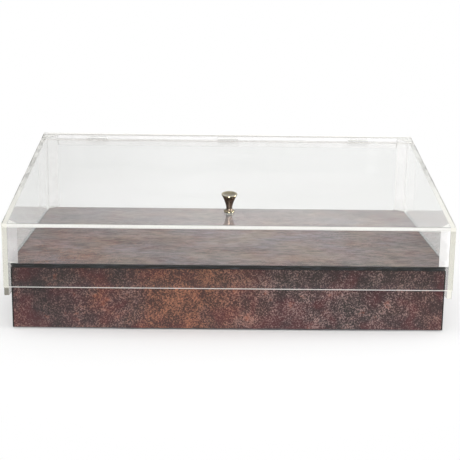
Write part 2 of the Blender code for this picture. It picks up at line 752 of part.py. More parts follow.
def main():
    clear_scene()
    base = add_carrier("base", (0, 0, 0))
    plate = add_carrier("plate_lift", (0, PLATE_MIDDLE, PLATE_BOTTOM), base)
    hood = add_carrier("hood_lift", (0, 0, PLATE_TOP), plate)
    flap = add_carrier("flap_hinge", HINGE_AXIS, hood)
    build_walls(base)
    build_bottom(base)
    build_corners(base)
    build_tray(base)
    build_cold_packs(base)
    build_plate(plate)
    build_hood_walls(hood)
    build_top_strip(hood)
    build_bars(hood)
    build_flap_panes(flap)
    build_knob(flap)
    build_hinges(hood, flap)


main()
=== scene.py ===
"""A gastronorm cooling box: laminate box, serving plate, cold packs, and a clear hood with a flap.

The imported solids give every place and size. This script gives them their real finishes and finer
shapes, and sets up a plain white studio with the camera.
"""
import math

import bmesh
import bpy
from bpy.props import FloatProperty, FloatVectorProperty, IntProperty, PointerProperty
from mathutils import Matrix, Vector


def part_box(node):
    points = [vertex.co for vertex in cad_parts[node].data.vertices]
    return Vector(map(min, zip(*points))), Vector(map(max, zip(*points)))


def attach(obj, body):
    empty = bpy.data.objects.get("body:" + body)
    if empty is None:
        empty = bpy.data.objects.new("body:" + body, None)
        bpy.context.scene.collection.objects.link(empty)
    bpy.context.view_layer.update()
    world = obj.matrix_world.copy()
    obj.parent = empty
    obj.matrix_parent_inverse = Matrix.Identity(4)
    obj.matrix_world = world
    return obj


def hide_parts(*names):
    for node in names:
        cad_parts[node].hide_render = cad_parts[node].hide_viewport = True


bl_info = {
    "name": "Gastronorm cooling box",
    "version": (1, 0, 0),
    "blender": (4, 5, 0),
    "location": "3D View > Sidebar > Cooling box",
    "description": "Laminate cooling box with a serving plate and a clear flap hood",
    "category": "Add Mesh",
}

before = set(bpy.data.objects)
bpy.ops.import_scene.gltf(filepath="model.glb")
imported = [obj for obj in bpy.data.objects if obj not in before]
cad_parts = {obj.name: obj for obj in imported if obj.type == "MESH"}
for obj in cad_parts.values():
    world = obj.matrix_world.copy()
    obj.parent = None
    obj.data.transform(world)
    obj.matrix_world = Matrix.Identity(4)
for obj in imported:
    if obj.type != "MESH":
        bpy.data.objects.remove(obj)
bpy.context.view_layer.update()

MM = 0.001
WELD = 0.002 * MM

# The hood's slope, as the solids have it.
SLOPE = 0.186530
OUTWARD = Vector((0, -math.sin(SLOPE), math.cos(SLOPE)))
ACROSS = Vector((1, 0, 0))
DEEP = Vector((0, 1, 0))
UP = Vector((0, 0, 1))

# The knob's height, and where its foot stands on the flap.
KNOB_HEIGHT = 23.3 * MM
KNOB_PLACE = Vector((0, -125.755 * MM, 140.767 * MM)) + OUTWARD * 0.3 * MM
KNOB_LIGHT = "knob_light"

# What lies further from the middle than the first is a side wall, and further than the second its outer half.
SIDE_WALL_INSIDE = 0.2655
SIDE_WALL_MIDDLE = 0.269
# How far to the rear the flap's joint lies, and how high the front pane's lower edge.
HINGE_JOINT = 0.139
FRONT_PANE_FOOT = 0.052
# Half widths at which the core's dark line begins on the plate's and the box's faces.
PLATE_END_LINE = 0.2637
BOX_END_LINE = 0.2618

ACRYLIC_IOR = 1.49

# Faces that turn by less than this are one flat face.
FLAT = math.radians(0.3)
# Edges that turn by more than the first angle are rounded. Faces within the second shade as one surface.
CORNER = math.radians(40)
ROUND = math.radians(35)
ROUNDING_STEPS = 3
# Where a face looks, as the part of its normal along an axis: square on, straight along, or sideways.
SQUARE_ON = 0.98
STRAIGHT = 0.95
SIDEWAYS = 0.2

# The camera that was fitted to the photographed edges: metres and radians.
CAMERA_PLACE = (-0.01565, -1.43, 0.414)
CAMERA_YAW, CAMERA_PITCH, CAMERA_ROLL = -0.0130, -0.2235, 0.0123

CORNERS = ("front_left", "front_right", "rear_left", "rear_right")
HINGES = ("left_hinge", "middle_hinge", "right_hinge")

# Socket numbers of the Mix node in its two uses.
FLOAT_A, FLOAT_B, FLOAT_OUT = 2, 3, 0
COLOUR_A, COLOUR_B, COLOUR_OUT = 6, 7, 2


# Colours and nodes


def linear(hex_colour):
    """An sRGB hex colour as linear red, green, blue."""
    channels = [int(hex_colour[i:i + 2], 16) / 255 for i in (1, 3, 5)]
    return tuple(c / 12.92 if c <= 0.04045 else ((c + 0.055) / 1.055) ** 2.4 for c in channels)


def rgba(colour):
    """A hex colour or a colour setting, with full alpha."""
    return (*(linear(colour) if isinstance(colour, str) else colour), 1.0)


def add(tree, kind, values=None, stops=None, **settings):
    """Adds a node. A value that is a socket is linked, and any other value is set."""
    node = tree.nodes.new(kind)
    for name, value in settings.items():
        setattr(node, name, value)
    for name, value in (values or {}).items():
        if isinstance(value, bpy.types.NodeSocket):
            tree.links.new(value, node.inputs[name])
        else:
            node.inputs[name].default_value = value
    if stops:
        ramp = node.color_ramp
        while len(ramp.elements) < len(stops):
            ramp.elements.new(0.5)
        for element, (position, colour) in zip(ramp.elements, stops):
            element.position = position
            element.color = rgba(colour) if isinstance(colour, (str, tuple)) else (colour, colour, colour, 1)
    return node


def calc(tree, operation, *values):
    """The result of one step of arithmetic."""
    return add(tree, "ShaderNodeMath", dict(enumerate(values)), operation=operation).outputs[0]


def remap(tree, value, source, target):
    """A value carried from one range to another, and held within it."""
    values = {"Value": value}
    values["From Min"], values["From Max"] = source
    values["To Min"], values["To Max"] = target
    return add(tree, "ShaderNodeMapRange", values).outputs["Result"]


def graded(tree, value, *stops):
    """A value turned into the colour or the strength that the stops give it."""
    return add(tree, "ShaderNodeValToRGB", {"Fac": value}, stops=stops).outputs["Color"]


def axes(tree, vector):
    """The X, Y and Z of a vector."""
    return add(tree, "ShaderNodeSeparateXYZ", {"Vector": vector}).outputs


def stretched(tree, place, scale):
    """Coordinates multiplied along each axis."""
    return add(tree, "ShaderNodeMapping", {"Vector": place, "Scale": scale}).outputs["Vector"]


def noise(tree, place, scale, detail, **more):
    """Cloudy noise, with scale as its waves per metre."""
    values = {"Vector": place, "Scale": scale, "Detail": detail, **more}
    return add(tree, "ShaderNodeTexNoise", values).outputs["Fac"]


def patch(tree, place, location, scale):
    """One in the middle of a round patch, and less toward its rim."""
    spot = add(tree, "ShaderNodeMapping", {"Vector": place, "Location": location, "Scale": scale})
    values = {"Vector": spot.outputs["Vector"]}
    return add(tree, "ShaderNodeTexGradient", values, gradient_type="SPHERICAL").outputs["Fac"]


def beyond(tree, place, half_width):
    """One where a point lies further to the left or right than the half width, zero elsewhere."""
    across = calc(tree, "ABSOLUTE", axes(tree, place)["X"])
    return calc(tree, "GREATER_THAN", across, half_width)


def blend(tree, share, under, over):
    """One colour laid over another by a share."""
    values = {0: share, COLOUR_A: under, COLOUR_B: over}
    return add(tree, "ShaderNodeMix", values, data_type="RGBA").outputs[COLOUR_OUT]


def between(tree, share, low, high):
    """A number that goes from one to another by a share."""
    values = {0: share, FLOAT_A: low, FLOAT_B: high}
    return add(tree, "ShaderNodeMix", values, data_type="FLOAT").outputs[FLOAT_OUT]


def relief(tree, height, strength, distance):
    """The normal of a surface with small hills."""
    values = {"Height": height, "Strength": strength, "Distance": distance}
    return add(tree, "ShaderNodeBump", values).outputs["Normal"]


def principled(tree, values):
    """A Principled surface."""
    return add(tree, "ShaderNodeBsdfPrincipled", values).outputs["BSDF"]


def transparent(tree, tint):
    """Bare tinted passage of light."""
    return add(tree, "ShaderNodeBsdfTransparent", {"Color": tint}).outputs["BSDF"]


def glow(tree, strength):
    """Plain white light."""
    return add(tree, "ShaderNodeEmission", {"Color": (1, 1, 1, 1), "Strength": strength}).outputs["Emission"]


def layered(tree, share, under, over):
    """One surface laid over another by a share."""
    return add(tree, "ShaderNodeMixShader", {"Fac": share, 1: under, 2: over}).outputs["Shader"]


def new_finish(name):
    """A new material of that name, its node tree, and the coordinates of each point of the object."""
    material = bpy.data.materials.new(name)
    material.use_nodes = True
    tree = material.node_tree
    tree.nodes.clear()
    return material, tree, add(tree, "ShaderNodeTexCoord").outputs["Object"]


def opaque(material, values):
    """The material, with a plain Principled surface."""
    tree = material.node_tree
    add(tree, "ShaderNodeOutputMaterial", {"Surface": principled(tree, values)})
    return material


def lit_through(material, surface, tint):
    """The material, with lamplight and bounced light let through, so that what it covers is lit."""
    tree = material.node_tree
    path = add(tree, "ShaderNodeLightPath").outputs
    passing = calc(tree, "MAXIMUM", path["Is Shadow Ray"], path["Is Diffuse Ray"])
    mixed = layered(tree, passing, surface, transparent(tree, tint))
    add(tree, "ShaderNodeOutputMaterial", {"Surface": mixed})
    return material


def seen_directly(tree, path):
    """One for what the eye sees, also through clear pieces."""
    return calc(tree, "MAXIMUM", path["Is Camera Ray"], path["Is Transmission Ray"])


def seen_in_gloss(tree, path):
    """One for what a glossy surface mirrors, zero for the rest."""
    return calc(tree, "MINIMUM", path["Glossy Depth"], 1.0)


def finish_of(maker):
    """The material that a maker function makes, made once."""
    name = maker.__name__
    return bpy.data.materials.get(name) or maker(name, bpy.context.scene.cooling_box_finishes)


# Finishes


def rust_decor(material_name, look, shift, warm_patch, pale_patch, painted_light_and_wear=False):
    """The decor face of compact laminate, with an old-rust print under a fine suede texture."""
    material, tree, point = new_finish(material_name)
    place = add(tree, "ShaderNodeMapping", {"Vector": point, "Location": shift}).outputs["Vector"]
    clouds = noise(tree, place, 1 / look.decor_patch, 7.0, Roughness=0.66, Distortion=0.35)
    # The sheet is warmer in a broad patch left of the middle.
    warm = patch(tree, place, warm_patch, (8, 8, 8))
    warm = calc(tree, "MULTIPLY", warm, 0.12 if painted_light_and_wear else 0.26)
    clouds = calc(tree, "MULTIPLY_ADD", clouds, 0.75, warm)
    clouds = calc(tree, "ADD", clouds, 0.09)
    ground = graded(
        tree, clouds,
        (0.34, tuple(look.decor_charcoal)), (0.48, tuple(look.decor_maroon)), (0.66, tuple(look.decor_brown)),
    )
    # The dark ground leans to olive in some places and to red in others.
    lean = noise(tree, place, 2.4 / look.decor_patch, 4.0, Distortion=0.4)
    lean = graded(tree, lean, (0.38, "#2C2D28"), (0.5, "#3D2A2B"), (0.62, "#64292B"))
    ground = blend(tree, 0.42, ground, lean)
    # The print is dense pale flecks of about 0.5 mm on the dark ground. They are drawn at 1.7 mm to show.
    print_tone = graded(tree, clouds, (0.36, "#665150"), (0.5, tuple(look.decor_fleck)), (0.64, "#B77A5C"))
    flecks = noise(tree, place, 1 / look.decor_fleck_size, 3.0, Roughness=0.7)
    density = noise(tree, place, 4.5 / look.decor_patch, 5.0, Roughness=0.65)
    density = remap(tree, density, (0.32, 0.68), (-0.1, 0.06))
    density = calc(tree, "MULTIPLY_ADD", warm, 0.25, density)
    flecks = calc(tree, "ADD", flecks, density)
    # In a patch to the right the flecks are denser and stand out pale on the dark ground.
    pale = patch(tree, place, pale_patch, (6, 6, 6))
    flecks = calc(tree, "MULTIPLY_ADD", pale, 0.01, flecks)
    print_tone = blend(tree, pale, print_tone, rgba("#BE9F98"))
    flecks = graded(tree, flecks, (0.48, 0.0), (0.68, 0.85))
    printed = blend(tree, flecks, ground, print_tone)
    # The box has orange blooms, and the plate none.
    blooms = noise(tree, place, 4.5 / look.decor_patch, 9.0, Roughness=0.75, Distortion=0.2)
    blooms = graded(tree, blooms, (0.59, 0.0), (0.76, 0.0 if painted_light_and_wear else 0.75))
    colour = blend(tree, blooms, printed, rgba(look.decor_rust))
    # The plate gets a pale haze of fine scratches and painted sheen.
    if painted_light_and_wear:
        colour = scratches_and_painted_sheen(tree, place, colour)
    # The core draws a fine dark line down the left and right end of each face, but not on the end faces.
    end_line = beyond(tree, point, PLATE_END_LINE if painted_light_and_wear else BOX_END_LINE)
    end_face = beyond(tree, add(tree, "ShaderNodeTexCoord").outputs["Normal"], 0.9)
    end_line = calc(tree, "MULTIPLY", end_line, calc(tree, "SUBTRACT", 1.0, end_face))
    colour = blend(tree, end_line, colour, rgba(look.core_black))
    # The suede texture is about 1 mm from hill to hill, drawn at 3 mm so that it shows on the plate.
    bump = relief(tree, noise(tree, place, 1 / (3 * MM), 4.0), 1.0, 0.35 * MM)
    rough = remap(tree, clouds, (0.35, 0.65), (0.3, 0.44))
    return opaque(material, {"Base Color": colour, "Roughness": rough, "IOR": 1.5, "Normal": bump})


def scratches_and_painted_sheen(tree, place, colour):
    """A pale haze of fine scratches along the plate that is also painted sheen, stronger to the right of the
    middle.
    """
    scratches = noise(tree, stretched(tree, place, (80, 200, 200)), 1.0, 6.0)
    haze = remap(tree, scratches, (0.41, 0.59), (0.0, 0.34))
    wiped = noise(tree, stretched(tree, place, (9, 24, 24)), 1.0, 4.0)
    haze = calc(tree, "ADD", haze, remap(tree, wiped, (0.35, 0.65), (-0.13, 0.12)))
    # Painted sheen, stronger in a patch to the right of the middle.
    painted_sheen_patch = patch(tree, place, (-3.06, -1.4, 0), (3.6, 4.0, 0))
    haze = calc(tree, "MULTIPLY_ADD", painted_sheen_patch, 0.27, haze)
    hue = noise(tree, place, 1 / (70 * MM), 3.0)
    hue = graded(tree, hue, (0.36, "#A59BA3"), (0.5, "#AF9D97"), (0.64, "#B5A08C"))
    return blend(tree, haze, colour, hue)


def rust_decor_laminate(name, look):
    """Pressed laminate face: the eye gets dark maroon, charcoal and rust clouds with a soft sheen."""
    return rust_decor(
        name, look, shift=(0.31, 0.0, 0.12), warm_patch=(-2.08, 1.3, -1.28), pale_patch=(-2.7, 0.975, -0.93),
    )


def rust_decor_plate(name, look):
    """The same laminate on the plate, from another part of the sheet, and hazy with wear and painted sheen.
    """
    return rust_decor(
        name, look, shift=(0.83, 0.4, 0.0), warm_patch=(-5.04, -2.4, -0.64), pale_patch=(-5.58, -2.7, -0.48),
        painted_light_and_wear=True,
    )


def sawn_laminate_core(name, look):
    """Sawn and eased edge of compact laminate: near-black resin paper in thin layers, a little dusty."""
    material, tree, place = new_finish(name)
    layers = noise(tree, stretched(tree, place, (60, 60, 900)), 1.0, 4.0)
    colour = graded(tree, layers, (0.38, tuple(look.core_black)), (0.52, "#161716"), (0.64, "#3A3D43"))
    bump = relief(tree, layers, 0.4, 0.1 * MM)
    return opaque(material, {"Base Color": colour, "Roughness": 0.48, "IOR": 1.55, "Normal": bump})


def black_laminate(name, look):
    """Plain black compact laminate, sawn: a dull black with a fine felt-like grain."""
    material, tree, place = new_finish(name)
    grain = noise(tree, place, 1 / (1.5 * MM), 5.0)
    colour = graded(tree, grain, (0.35, tuple(look.core_black)), (0.7, "#2A2928"))
    bump = relief(tree, grain, 0.4, 0.1 * MM)
    return opaque(material, {"Base Color": colour, "Roughness": 0.55, "IOR": 1.55, "Normal": bump})


def cast_acrylic_face(name, look):
    """Face of cast acrylic sheet: glass-clear and glossy, a little greyer where it has been wiped."""
    material, tree, place = new_finish(name)
    wiped = noise(tree, stretched(tree, place, (4, 12, 12)), 1.0, 4.0)
    clean = tuple(0.5 + 0.5 * part for part in look.acrylic_tint)
    sheet = principled(tree, {
        "Base Color": graded(tree, wiped, (0.35, tuple(look.acrylic_tint)), (0.65, clean)),
        "Roughness": 0.0, "IOR": ACRYLIC_IOR, "Transmission Weight": 1.0,
    })
    return lit_through(material, sheet, (0.96, 0.96, 0.955, 1))


def sawn_acrylic_edge(name, look):
    """Sawn edge of acrylic sheet: it scatters the light piped to it, and looks creamy white."""
    material, tree, place = new_finish(name)
    # Saw marks about 0.4 mm apart, drawn at 1.5 mm so that they show.
    marks = noise(tree, place, 1 / (1.5 * MM), 3.0)
    colour = graded(tree, marks, (0.3, "#F7F6F1"), (0.6, tuple(look.edge_white)))
    # The side walls' sheet is thicker than the panes', and its edges are creamier toward the front.
    thick = beyond(tree, place, SIDE_WALL_INSIDE)
    parts = axes(tree, place)
    cream = calc(tree, "MULTIPLY", remap(tree, parts["Y"], (-0.15, -0.03), (1.0, 0.0)), thick)
    colour = blend(tree, cream, colour, rgba("#FAF8EE"))
    # Below the front pane's foot the left wall's edge is painted grey-olive, darker than above it.
    low = remap(tree, parts["Z"], (FRONT_PANE_FOOT - MM, FRONT_PANE_FOOT + MM), (1.0, 0.0))
    left = calc(tree, "LESS_THAN", parts["X"], -SIDE_WALL_INSIDE)
    darker_below_pane = calc(tree, "MULTIPLY", low, calc(tree, "MULTIPLY", left, 0.85))
    colour = blend(tree, darker_below_pane, colour, rgba("#6E6A5E"))
    # The sloping edges were polished in places toward the rear, and are clear there.
    polished = remap(tree, noise(tree, place, 1 / (14 * MM), 2.0), (0.4, 0.55), (0.1, 0.85))
    rear = calc(tree, "MULTIPLY", remap(tree, parts["Y"], (-0.06, 0.04), (0.0, 1.0)), thick)
    edge = principled(tree, {
        "Base Color": colour, "Roughness": 0.3, "IOR": ACRYLIC_IOR,
        "Transmission Weight": calc(tree, "MULTIPLY_ADD", polished, rear, 0.08),
        "Normal": relief(tree, marks, 0.2, 0.1 * MM),
    })
    return lit_through(material, edge, (0.9, 0.9, 0.89, 1))


def scraped_corner_painted_outline(name, look):
    """Scraped corner of acrylic sheet, painted with a thin olive line that stands for the dark outline of a
    clear edge, paler in patches.
    """
    material, tree, place = new_finish(name)
    # The painted outline is paler in patches along the side walls, and hardly elsewhere.
    usual = 0.46
    side = beyond(tree, place, SIDE_WALL_INSIDE)
    swing = calc(tree, "SUBTRACT", noise(tree, place, 1 / (20 * MM), 2.0), usual)
    outline_tone = calc(tree, "MULTIPLY_ADD", swing, calc(tree, "MAXIMUM", side, 0.25), usual)
    # The painted outline is left pale on the walls' inner corners and at the hinge joint.
    inner = calc(tree, "SUBTRACT", side, beyond(tree, place, SIDE_WALL_MIDDLE))
    joint = calc(tree, "COMPARE", axes(tree, place)["Y"], HINGE_JOINT, 5 * MM)
    outline_tone = calc(tree, "MULTIPLY_ADD", calc(tree, "MAXIMUM", inner, joint), 0.3, outline_tone)
    corner = principled(tree, {
        "Base Color": graded(tree, outline_tone, (0.42, "#4C4A41"), (0.52, "#A8A69A"), (0.6, "#ECEBE6")),
        "Roughness": 0.45, "IOR": ACRYLIC_IOR, "Transmission Weight": 0.3,
    })
    return lit_through(material, corner, (0.85, 0.85, 0.84, 1))


def polished_acrylic_bar(name, look):
    """Flame-polished long face of an acrylic bar: milky with the light that its glued corner sends back."""
    material, tree, place = new_finish(name)
    cloud = noise(tree, place, 1 / (30 * MM), 2.0)
    milky = principled(tree, {
        "Base Color": (0.97, 0.97, 0.965, 1), "Roughness": remap(tree, cloud, (0.0, 1.0), (0.16, 0.3)),
        "IOR": ACRYLIC_IOR, "Transmission Weight": 0.3,
    })
    bar = layered(tree, 0.2, transparent(tree, (0.99, 0.99, 0.985, 1)), milky)
    return lit_through(material, bar, (0.94, 0.94, 0.93, 1))


def glued_acrylic(name, look):
    """Solvent-glued face of an acrylic bar: a whitish blush with a few bubbles, and a painted glow for piped
    light.
    """
    material, tree, place = new_finish(name)
    bubbles = add(tree, "ShaderNodeTexVoronoi", {"Vector": place, "Scale": 1 / (9 * MM)}).outputs["Distance"]
    bubbles = graded(tree, bubbles, (0.03, 0.9), (0.07, 0.0))
    blush = graded(tree, noise(tree, place, 1 / (25 * MM), 2.0), (0.35, 0.32), (0.65, 0.46))
    white = calc(tree, "MAXIMUM", bubbles, blush)
    # The glow is painted light: the right front bar glows brighter than the left one, and the rear bars
    # nearly alike.
    parts = axes(tree, place)
    painted_glow_slant = remap(tree, parts["X"], (-0.25, 0.25), (-0.38, 0.48))
    front = remap(tree, parts["Y"], (-0.1, 0.1), (1.0, 0.15))
    blush_and_painted_glow = principled(tree, {
        "Base Color": rgba("#F4F1F5"), "Roughness": 0.4, "Emission Color": (1, 1, 1, 1),
        "Emission Strength": calc(tree, "MULTIPLY_ADD", painted_glow_slant, front, 0.41),
    })
    glued = layered(tree, white, transparent(tree, (0.98, 0.98, 0.975, 1)), blush_and_painted_glow)
    return lit_through(material, glued, (0.94, 0.94, 0.93, 1))


def moulded_clear_plastic(name, look):
    """Injection-moulded clear plastic: hinge leaves that nearly vanish but for a little gloss outside."""
    material, tree, place = new_finish(name)
    flow = noise(tree, place, 1 / (4 * MM), 2.0)
    rough = remap(tree, flow, (0.0, 1.0), (0.02, 0.1))
    gloss = add(tree, "ShaderNodeBsdfGlossy", {"Color": (1, 1, 1, 1), "Roughness": rough}).outputs["BSDF"]
    rim = add(tree, "ShaderNodeLayerWeight", {"Blend": 0.12}).outputs["Fresnel"]
    outside = calc(tree, "SUBTRACT", 1.0, add(tree, "ShaderNodeNewGeometry").outputs["Backfacing"])
    share = calc(tree, "MULTIPLY", remap(tree, rim, (0.0, 1.0), (0.0, 0.3)), outside)
    leaf = layered(tree, share, transparent(tree, (0.998, 0.998, 0.997, 1)), gloss)
    return lit_through(material, leaf, (0.97, 0.97, 0.97, 1))


def drawn_nylon_pin(name, look):
    """Drawn nylon rod: the hinge pins, natural white, cloudy and waxy, with a painted glow for the panes'
    piped light.
    """
    material, tree, place = new_finish(name)
    cloud = noise(tree, stretched(tree, place, (120, 900, 900)), 1.0, 3.0)
    # The emission is a painted glow that stands for light piped in from the panes.
    return opaque(material, {
        "Base Color": graded(tree, cloud, (0.3, "#E6E6E0"), (0.7, "#F8F8F4")), "Roughness": 0.25, "IOR": 1.53,
        "Emission Color": (1, 1, 1, 1), "Emission Strength": 0.25,
    })


def clear_silicone(name, look):
    """Cast silicone rubber: milky and soft, for the plate's pads and the knob's washer."""
    material, tree, place = new_finish(name)
    cloud = noise(tree, place, 1 / (2 * MM), 3.0)
    return opaque(material, {
        "Base Color": graded(tree, cloud, (0.3, "#A3A6A6"), (0.7, "#BFC2C1")), "Roughness": 0.35, "IOR": 1.41,
        "Transmission Weight": 0.85,
    })


def satin_nickel(name, look):
    """Turned and nickel-plated brass: a painted highlight on the rim and painted shade on the waist,
    highlights drawn out upward.
    """
    material, tree, place = new_finish(name)
    from_foot = add(tree, "ShaderNodeVectorMath", {0: place, 1: KNOB_PLACE}, operation="SUBTRACT")
    from_foot = from_foot.outputs["Vector"]
    height = add(tree, "ShaderNodeVectorMath", {0: from_foot, 1: OUTWARD}, operation="DOT_PRODUCT")
    share = calc(tree, "DIVIDE", height.outputs["Value"], KNOB_HEIGHT)
    # Painted light: the colour goes by height along the knob, from the foot's tone to painted shade on the
    # waist and a pale painted highlight at the rim.
    spots = noise(tree, place, 1 / (3 * MM), 4.0)
    painted_light_and_wear = calc(tree, "SUBTRACT", calc(tree, "MULTIPLY_ADD", spots, 0.04, share), 0.02)
    colour = graded(
        tree, painted_light_and_wear, (0.05, tuple(look.knob_metal)), (0.14, "#6F6156"), (0.8, "#6F6156"), (0.94, "#7D7562"),
        (0.985, "#8A826E"), (1.0, "#BDB5A0"),
    )
    # The rings of the lathe, 0.1 mm apart, draw each highlight out along the knob.
    around = add(tree, "ShaderNodeTangent", direction_type="RADIAL", axis="Z").outputs["Tangent"]
    return opaque(material, {
        "Base Color": colour, "Metallic": 1.0, "Roughness": remap(tree, spots, (0.3, 0.7), (0.11, 0.17)),
        "Anisotropic": 0.95, "Anisotropic Rotation": 0.25, "Tangent": around,
    })


def stainless_steel(name, look):
    """Cold-formed stainless steel screw: bright grey with a faint drawn texture."""
    material, tree, place = new_finish(name)
    drawn = noise(tree, place, 1 / (0.8 * MM), 3.0)
    return opaque(material, {
        "Base Color": graded(tree, drawn, (0.3, "#A6A8A9"), (0.7, "#C4C5C6")), "Metallic": 1.0,
        "Roughness": remap(tree, drawn, (0.0, 1.0), (0.22, 0.4)),
    })


def moulded_bead_foam(name, look):
    """Steam-moulded polypropylene bead foam: pale, matt, with the outlines of 4 mm beads."""
    material, tree, place = new_finish(name)
    seams = add(tree, "ShaderNodeTexVoronoi", {
        "Vector": place, "Scale": 1 / look.foam_bead,
    }, feature="DISTANCE_TO_EDGE").outputs["Distance"]
    colour = graded(tree, seams, (0.0, "#B9BAB7"), (0.08, tuple(look.foam_grey)))
    bump = relief(tree, graded(tree, seams, (0.0, 0.0), (0.25, 1.0)), 0.6, 0.3 * MM)
    return opaque(material, {"Base Color": colour, "Roughness": 0.85, "IOR": 1.45, "Normal": bump})


def blown_polyethylene(name, look):
    """Blow-moulded polyethylene: blue, waxy, with a slight orange-peel skin."""
    material, tree, place = new_finish(name)
    skin = noise(tree, place, 1 / (2.5 * MM), 3.0)
    clouds = noise(tree, place, 1 / (60 * MM), 3.0)
    colour = graded(tree, clouds, (0.3, tuple(look.pack_blue)), (0.7, "#4A80C6"))
    bump = relief(tree, skin, 0.35, 0.2 * MM)
    return opaque(material, {"Base Color": colour, "Roughness": 0.38, "IOR": 1.51, "Normal": bump})


def moulded_polyethylene(name, look):
    """Injection-moulded polyethylene: the filler plugs, off-white and waxy."""
    material, tree, place = new_finish(name)
    skin = noise(tree, place, 1 / (1.5 * MM), 3.0)
    colour = graded(tree, skin, (0.3, "#D9DCDF"), (0.7, "#ECEEEF"))
    bump = relief(tree, skin, 0.3, 0.1 * MM)
    return opaque(material, {"Base Color": colour, "Roughness": 0.42, "IOR": 1.51, "Normal": bump})


def moulded_rubber(name, look):
    """Moulded black rubber: feet with a dull, slightly dusty skin."""
    material, tree, place = new_finish(name)
    dust = noise(tree, place, 1 / (2 * MM), 5.0)
    colour = graded(tree, dust, (0.35, "#161617"), (0.75, "#2B2B2B"))
    bump = relief(tree, dust, 0.3, 0.1 * MM)
    return opaque(material, {"Base Color": colour, "Roughness": 0.8, "IOR": 1.52, "Normal": bump})


def painted_studio_floor(name, look):
    """Painted studio floor: it keeps the shadow near the box, and looks plain white further off."""
    material, tree, place = new_finish(name)
    path = add(tree, "ShaderNodeLightPath").outputs
    distance = add(tree, "ShaderNodeVectorMath", {0: place}, operation="LENGTH").outputs["Value"]
    plain = calc(tree, "MULTIPLY", seen_directly(tree, path), remap(tree, distance, (0.2, 0.5), (0.0, 1.0)))
    paint = add(tree, "ShaderNodeBsdfDiffuse", {"Color": (0.94, 0.94, 0.94, 1)}).outputs["BSDF"]
    floor = layered(tree, plain, paint, glow(tree, 1.0))
    # In mirror images the floor is dim in front of the box, as the room behind the camera was.
    depth = axes(tree, place)["Y"]
    near = remap(tree, depth, (-0.4, -0.2), (0.16, 1.0))
    distant = remap(tree, depth, (-1.8, -1.2), (0.8, 0.0))
    mirrored = glow(tree, calc(tree, "MAXIMUM", near, distant))
    floor = layered(tree, seen_in_gloss(tree, path), floor, mirrored)
    add(tree, "ShaderNodeOutputMaterial", {"Surface": floor})
    return material


# Shapes


def merged_copy(node):
    """A node's solid with its loose triangles joined and its flat faces whole."""
    bm = bmesh.new()
    bm.from_mesh(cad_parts[node].data)
    bmesh.ops.remove_doubles(bm, verts=bm.verts, dist=WELD)
    bmesh.ops.dissolve_limit(bm, angle_limit=FLAT, verts=bm.verts, edges=bm.edges)
    return bm


def soften(bm, width, sharper_than=CORNER):
    """Rounds every edge that turns by more than an angle."""
    edges = [e for e in bm.edges if len(e.link_faces) == 2 and e.calc_face_angle() > sharper_than]
    bmesh.ops.bevel(
        bm, geom=edges, offset=width, segments=ROUNDING_STEPS, affect="EDGES", profile=0.5, material=-1,
        offset_type="OFFSET", clamp_overlap=True,
    )


def looks_along(face, axis, least=SQUARE_ON):
    """Whether a face looks along an axis, either way."""
    return abs(face.normal.dot(axis)) > least


def paint_edges(bm, axis):
    """Gives a board's faces, square to the axis, the first finish and the rest the second."""
    for face in bm.faces:
        face.material_index = 0 if looks_along(face, axis) else 1


def paint_sawn(bm, axis):
    """Gives a clear sheet's sawn edges the second finish and its scraped corners the third."""
    for face in bm.faces:
        sawn = not looks_along(face, axis, SIDEWAYS) and max(map(abs, face.normal)) > STRAIGHT
        face.material_index = 0 if looks_along(face, axis) else 1 if sawn else 2


def spun(profile, steps):
    """A closed round body from its outline as (radius, height)."""
    bm = bmesh.new()
    verts = [bm.verts.new((radius, 0, height)) for radius, height in profile]
    edges = [bm.edges.new(pair) for pair in zip(verts, verts[1:])]
    bmesh.ops.spin(
        bm, geom=verts + edges, cent=(0, 0, 0), axis=(0, 0, 1), angle=math.tau, steps=steps, use_merge=True,
    )
    bmesh.ops.remove_doubles(bm, verts=bm.verts, dist=WELD)
    bmesh.ops.recalc_face_normals(bm, faces=bm.faces)
    return bm


def add_piece(bm, name, node, body, finishes, smooth=None):
    """Makes the object that stands for a node, and lets it ride on the node's body."""
    mesh = bpy.data.meshes.new(name)
    bm.to_mesh(mesh)
    bm.free()
    for finish in finishes:
        mesh.materials.append(finish)
    if smooth:
        mesh.shade_smooth()
        mesh.set_sharp_from_angle(angle=smooth)
    piece = bpy.data.objects.new(name, mesh)
    bpy.context.scene.collection.objects.link(piece)
    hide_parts(node)
    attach(piece, body)
    return piece


def add_sheets(body, sheets):
    """Clear acrylic sheets of one body, each given as node, name, way of painting and axis."""
    finishes = [finish_of(cast_acrylic_face), finish_of(sawn_acrylic_edge), finish_of(scraped_corner_painted_outline)]
    for node, name, paint, axis in sheets:
        bm = merged_copy(node)
        paint(bm, axis)
        add_piece(bm, name, node, body, finishes)


def refinish(node, finish):
    """Gives a solid that already has the right shape its real finish."""
    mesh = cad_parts[node].data
    for index in range(len(mesh.materials)):
        mesh.materials[index] = finish


# Settings


